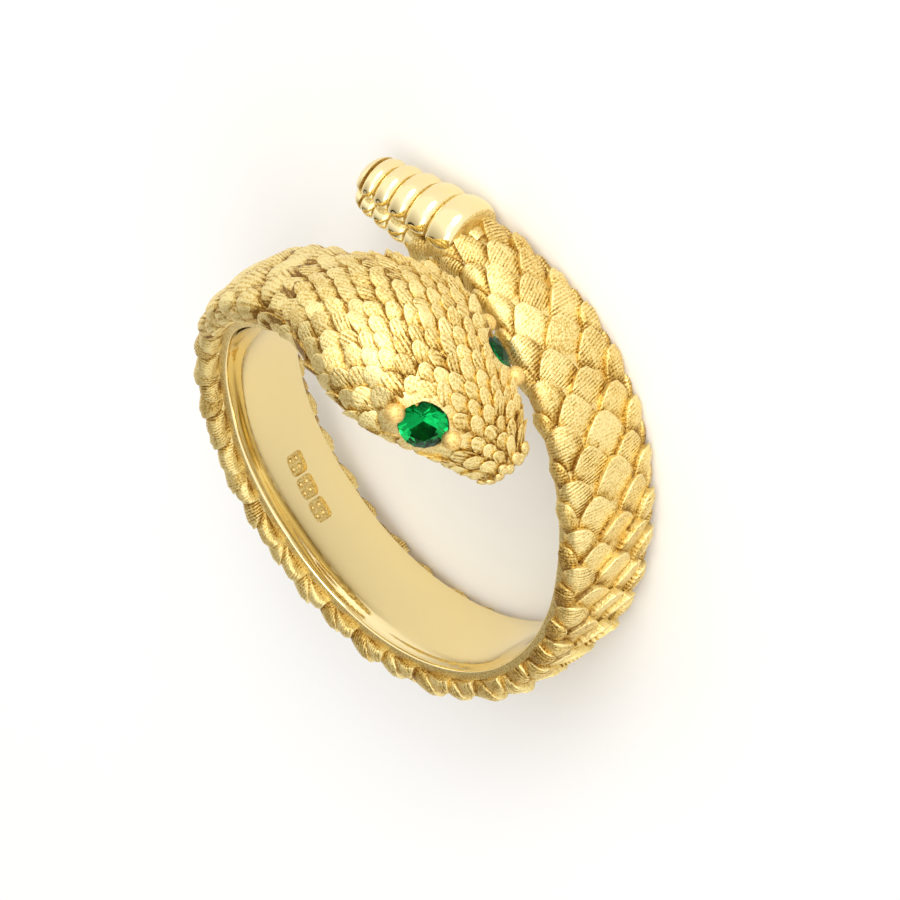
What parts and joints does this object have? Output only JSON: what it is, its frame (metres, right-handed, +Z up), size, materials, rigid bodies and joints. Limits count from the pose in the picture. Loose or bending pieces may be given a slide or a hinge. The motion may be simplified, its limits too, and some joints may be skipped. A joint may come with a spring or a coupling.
{
  "type": "snake wrap ring",
  "caption": "Finger ring in the form of a rattlesnake that wraps past its own tail: scaled band, viper head with round green stone eyes, segmented rattle.",
  "frame": {"origin": "middle of the round of the finger hole, on its axis, level with the middle of the back of the band", "axes": "+Z up from the surface that the ring lies on, close to the axis of the finger hole; -Y toward the head and the rattle"},
  "size_m": [0.0212, 0.0227, 0.0119],
  "materials": {
    "gold": "yellow gold: satin engraved scales, polished rattle and finger hole",
    "emerald": "clear deep green cut stone"
  },
  "bodies": {
    "root": {"snake_ring": "gold", "eye_stone_near": "emerald", "eye_stone_far": "emerald"}
  },
  "joints": []
}
